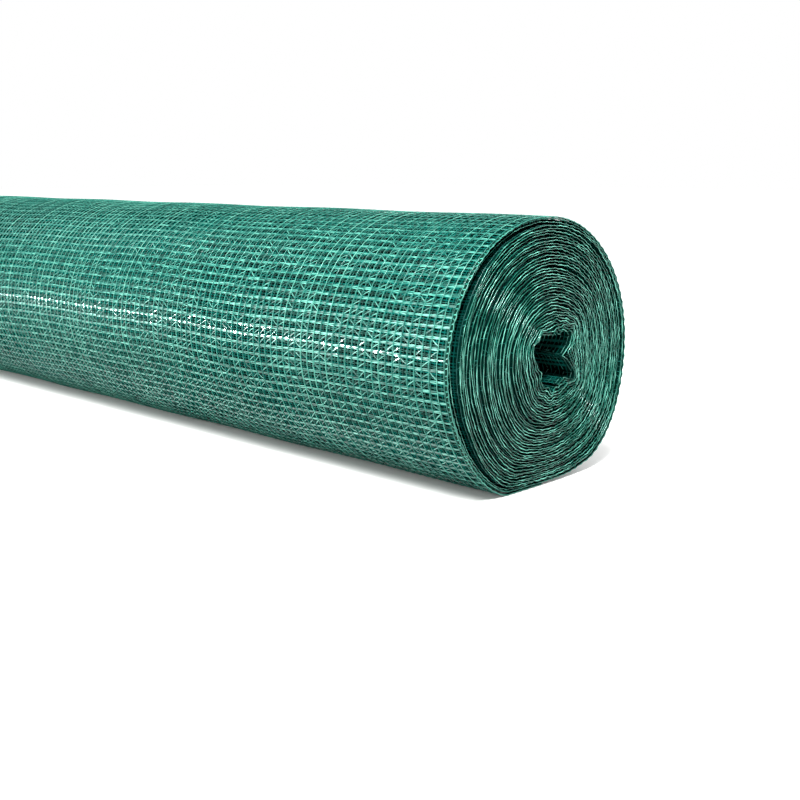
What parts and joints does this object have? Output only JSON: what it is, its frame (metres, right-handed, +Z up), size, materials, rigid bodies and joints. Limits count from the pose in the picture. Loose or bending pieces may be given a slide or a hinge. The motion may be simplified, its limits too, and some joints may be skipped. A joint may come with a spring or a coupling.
{
  "type": "roll of shade netting",
  "caption": "Roll of open knitted green shade netting, wound without a core and lying on its side, with a crumpled hole through the middle.",
  "frame": {"origin": "on the surface the roll lies on, under the middle of its box", "axes": "+X along the roll towards its uneven, telescoped end; +Z up from the surface"},
  "size_m": [1.011, 0.2596, 0.2427],
  "materials": {
    "net_tape": "knitted polyethylene tape, half gloss"
  },
  "bodies": {
    "root": {"roll": "net_tape"}
  },
  "joints": []
}
